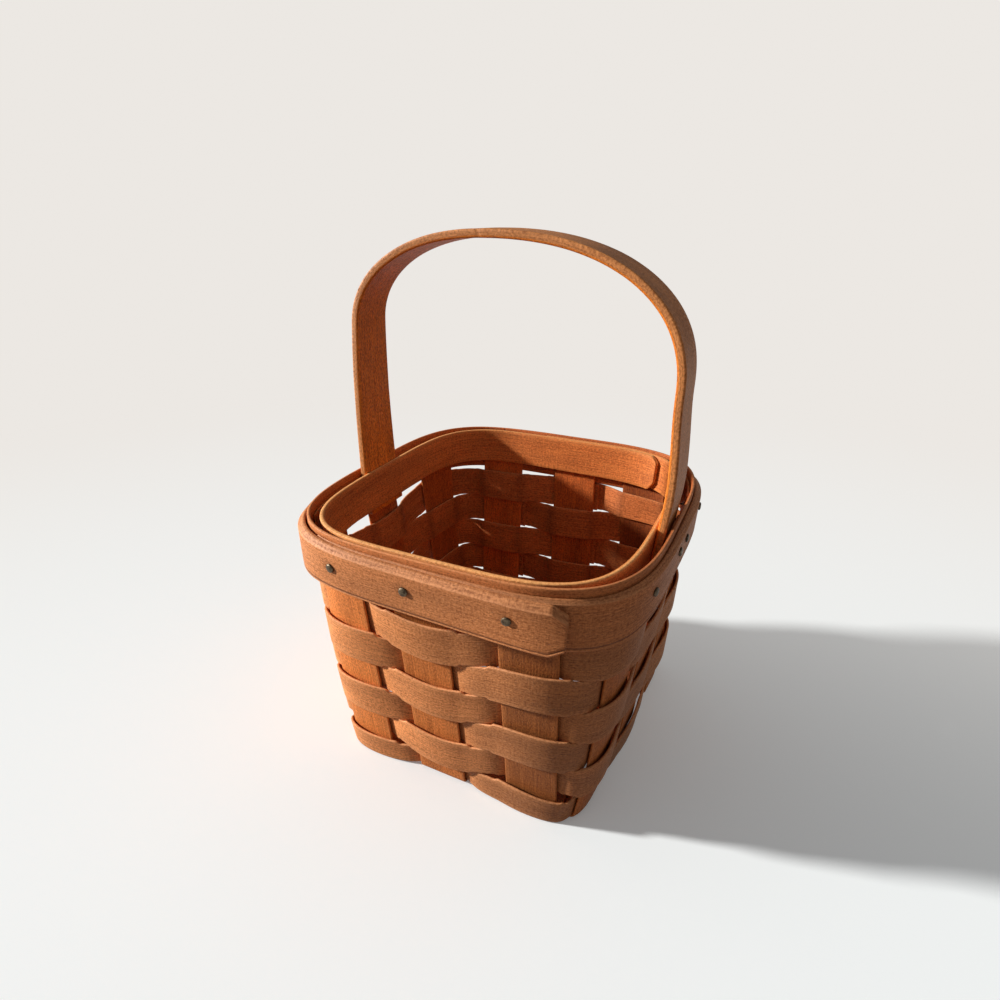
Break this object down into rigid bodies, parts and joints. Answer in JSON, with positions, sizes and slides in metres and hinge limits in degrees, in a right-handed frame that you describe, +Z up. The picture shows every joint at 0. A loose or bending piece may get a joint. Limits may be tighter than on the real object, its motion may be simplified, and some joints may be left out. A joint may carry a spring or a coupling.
{
  "type": "square splint basket",
  "caption": "Square woven wood splint basket with bent rim bands held by tacks and a fixed arched carrying handle of one bent strip.",
  "frame": {"origin": "on the ground plane under the crossing of the middle lines of the walls, at the underside of the basket", "axes": "+Z up, X across the basket from one handle foot to the other, front at -Y"},
  "size_m": [0.1611, 0.1627, 0.2318],
  "materials": {
    "splint_wood": "satin stained split wood",
    "weaver_wood": "satin stained split wood",
    "top_strip_wood": "satin stained split wood",
    "outer_band_wood": "satin stained wood",
    "inner_band_wood": "satin stained wood",
    "handle_wood": "satin stained wood",
    "tack_metal": "dull, darkened"
  },
  "bodies": {
    "root": {"lengthwise_splint_1": "splint_wood", "lengthwise_splint_2": "splint_wood", "lengthwise_splint_3": "splint_wood", "crosswise_splint_1": "splint_wood", "crosswise_splint_2": "splint_wood", "crosswise_splint_3": "splint_wood", "weaver_1": "weaver_wood", "weaver_2": "weaver_wood", "weaver_3": "weaver_wood", "weaver_4": "weaver_wood", "weaver_5": "weaver_wood", "weaver_6": "weaver_wood", "top_strip": "top_strip_wood", "outer_band": "outer_band_wood", "inner_band": "inner_band_wood", "handle": "handle_wood", "tack_01": "tack_metal", "tack_02": "tack_metal", "tack_03": "tack_metal", "tack_04": "tack_metal", "tack_05": "tack_metal", "tack_06": "tack_metal", "tack_07": "tack_metal", "tack_08": "tack_metal", "tack_09": "tack_metal", "tack_10": "tack_metal", "tack_11": "tack_metal", "tack_12": "tack_metal", "tack_13": "tack_metal", "tack_14": "tack_metal"}
  },
  "joints": []
}
